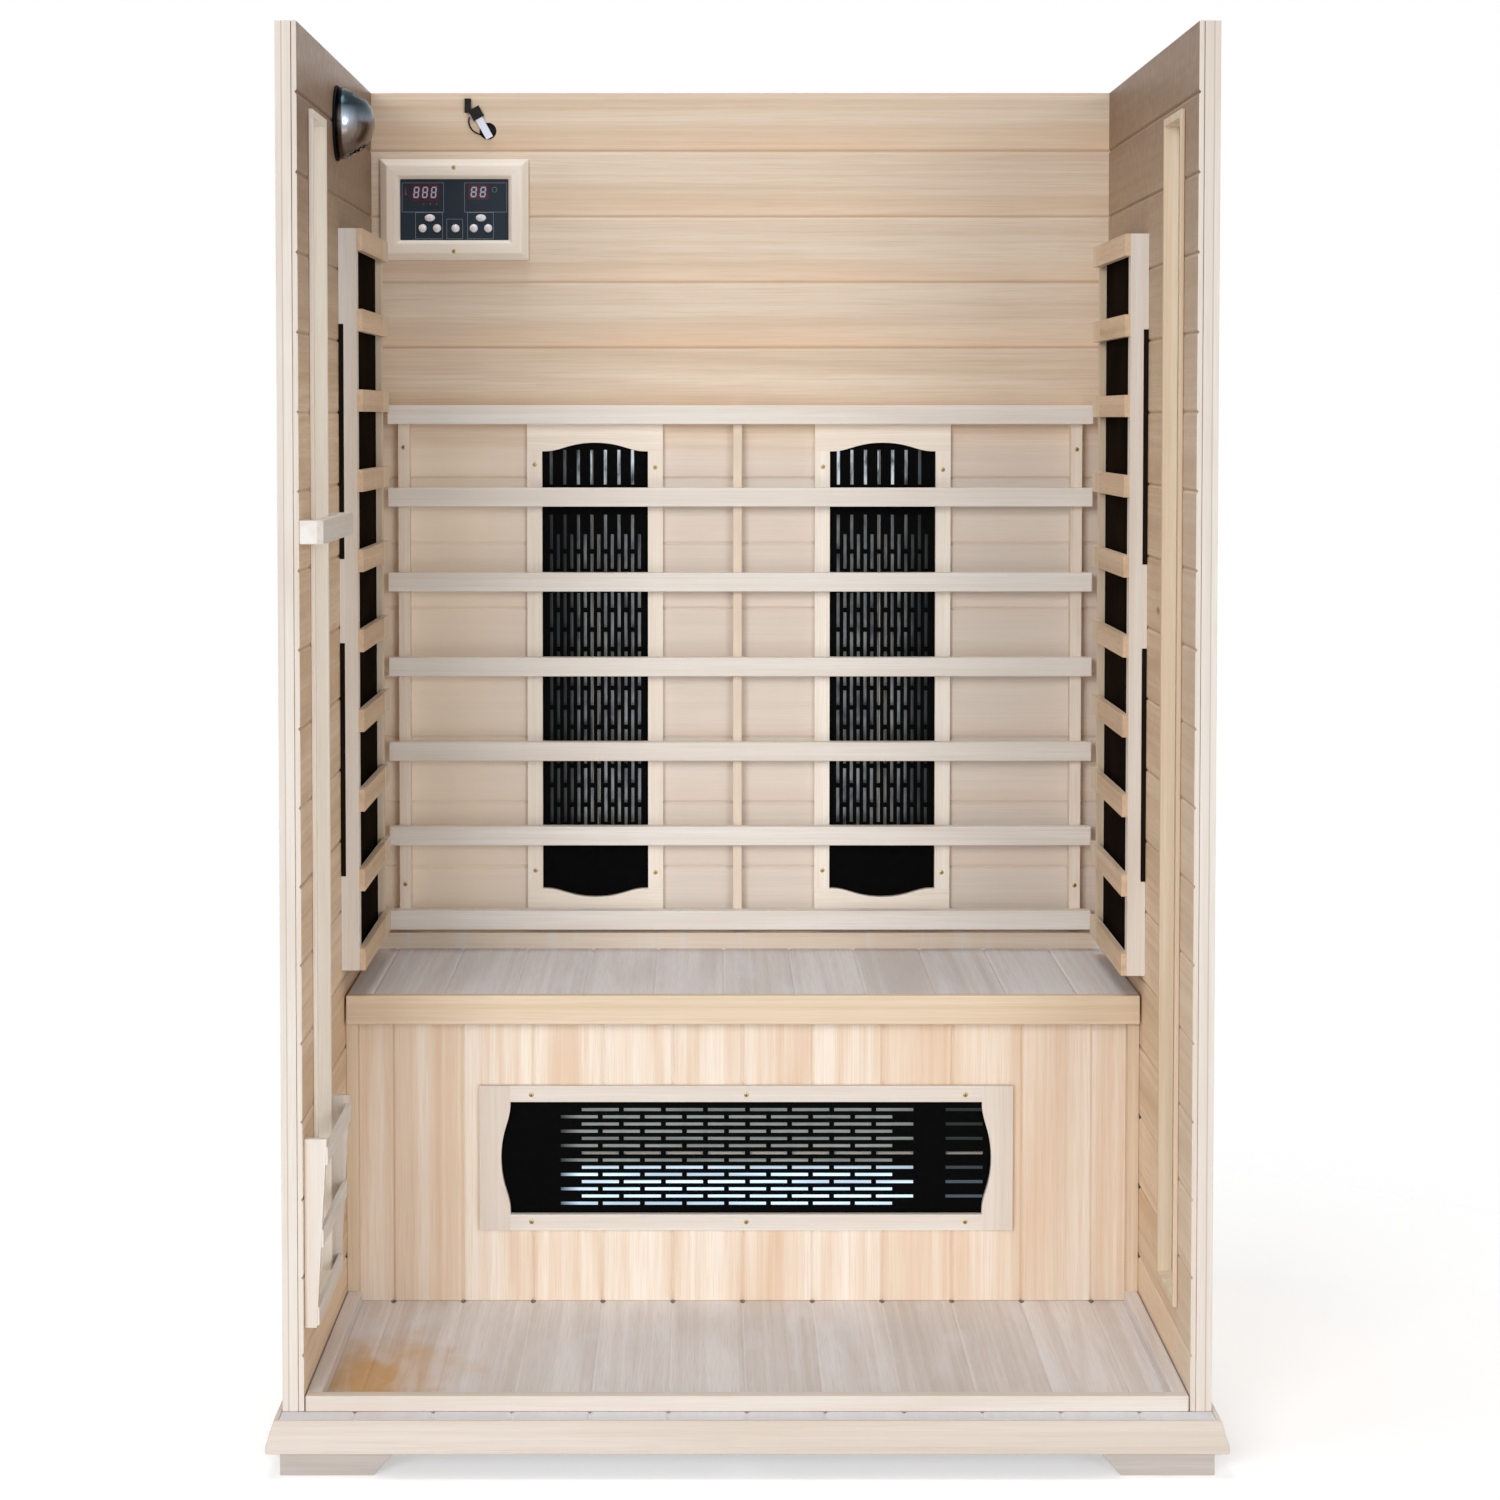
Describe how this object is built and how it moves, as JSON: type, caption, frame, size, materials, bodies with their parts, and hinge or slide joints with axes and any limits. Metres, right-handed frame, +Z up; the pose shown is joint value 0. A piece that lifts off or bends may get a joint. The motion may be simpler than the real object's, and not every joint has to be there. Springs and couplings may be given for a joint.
{
  "type": "infrared sauna cabin",
  "caption": "Open-fronted wooden infrared sauna cabin with bench, slatted backrest, ceramic and carbon heaters, wall lamp, keyed control panel, towel rail and magazine rack.",
  "frame": {"origin": "on the ground, under the middle of the base", "axes": "+X right seen from the front, +Y to the rear wall, +Z up"},
  "size_m": [1.192, 1.046, 1.797],
  "materials": {
    "wall_wood": "planed, bare, grooved boards",
    "trim_wood": "planed, bare",
    "plank_wood": "planed, bare, greyed with use",
    "base_wood": "planed, bare",
    "window_glass": "clear",
    "grille_black": "satin black",
    "reflector_steel": "bright",
    "heater_ceramic": "matt",
    "carbon_panel": "matt laminate",
    "fascia_plastic": "satin film",
    "key_plastic": "gloss",
    "lamp_metal": "satin",
    "gasket_rubber": "matt",
    "connector_plastic": "gloss",
    "lead_black": "satin"
  },
  "bodies": {
    "cabin": {"back_heater_left_frame": "trim_wood", "back_heater_left_grille": "grille_black", "back_heater_left_reflector": "reflector_steel", "back_heater_left_tube": "heater_ceramic", "back_heater_right_frame": "trim_wood", "back_heater_right_grille": "grille_black", "back_heater_right_reflector": "reflector_steel", "back_heater_right_tube": "heater_ceramic", "backrest_frame": "trim_wood", "backrest_slat_1": "trim_wood", "backrest_slat_2": "trim_wood", "backrest_slat_3": "trim_wood", "backrest_slat_4": "trim_wood", "backrest_slat_5": "trim_wood", "base_skirt_front": "base_wood", "base_skirt_left": "base_wood", "base_skirt_rear": "base_wood", "base_skirt_right": "base_wood", "bench_front_panel": "wall_wood", "bench_heater_frame": "trim_wood", "bench_heater_grille": "grille_black", "bench_heater_reflector": "reflector_steel", "bench_heater_tube": "heater_ceramic", "bench_nosing": "trim_wood", "bench_top": "plank_wood", "control_fascia": "fascia_plastic", "control_frame": "trim_wood", "floor_deck": "plank_wood", "floor_lip": "trim_wood", "foot_front_left": "base_wood", "foot_front_right": "base_wood", "foot_rear_left": "base_wood", "foot_rear_right": "base_wood", "lamp_gasket": "gasket_rubber", "lamp_shade": "lamp_metal", "lead_connector": "connector_plastic", "lead_plug": "lead_black", "lead_wire": "lead_black", "left_wall_lining": "wall_wood", "left_wall_panel": "wall_wood", "left_window_glass": "window_glass", "left_window_trim": "trim_wood", "magazine_rack": "trim_wood", "rear_wall": "wall_wood", "right_wall_lining": "wall_wood", "right_wall_panel": "wall_wood", "right_window_glass": "window_glass", "right_window_trim": "trim_wood", "side_heater_left_emitter": "carbon_panel", "side_heater_left_frame": "trim_wood", "side_heater_right_emitter": "carbon_panel", "side_heater_right_frame": "trim_wood", "towel_rail": "trim_wood"},
    "key_centre": {"button_centre": "key_plastic"},
    "key_left_down": {"button_left_down": "key_plastic"},
    "key_left_oval": {"button_left_oval": "key_plastic"},
    "key_left_up": {"button_left_up": "key_plastic"},
    "key_right_down": {"button_right_down": "key_plastic"},
    "key_right_oval": {"button_right_oval": "key_plastic"},
    "key_right_up": {"button_right_up": "key_plastic"}
  },
  "joints": [
    {"name": "press_centre", "type": "slide", "parent": "cabin", "child": "key_centre", "axis": [0, 1, 0], "range_m": [0, 0.0008], "stiffness_N_per_m": 2000},
    {"name": "press_left_down", "type": "slide", "parent": "cabin", "child": "key_left_down", "axis": [0, 1, 0], "range_m": [0, 0.0008], "stiffness_N_per_m": 2000},
    {"name": "press_left_oval", "type": "slide", "parent": "cabin", "child": "key_left_oval", "axis": [0, 1, 0], "range_m": [0, 0.0008], "stiffness_N_per_m": 2000},
    {"name": "press_left_up", "type": "slide", "parent": "cabin", "child": "key_left_up", "axis": [0, 1, 0], "range_m": [0, 0.0008], "stiffness_N_per_m": 2000},
    {"name": "press_right_down", "type": "slide", "parent": "cabin", "child": "key_right_down", "axis": [0, 1, 0], "range_m": [0, 0.0008], "stiffness_N_per_m": 2000},
    {"name": "press_right_oval", "type": "slide", "parent": "cabin", "child": "key_right_oval", "axis": [0, 1, 0], "range_m": [0, 0.0008], "stiffness_N_per_m": 2000},
    {"name": "press_right_up", "type": "slide", "parent": "cabin", "child": "key_right_up", "axis": [0, 1, 0], "range_m": [0, 0.0008], "stiffness_N_per_m": 2000}
  ]
}
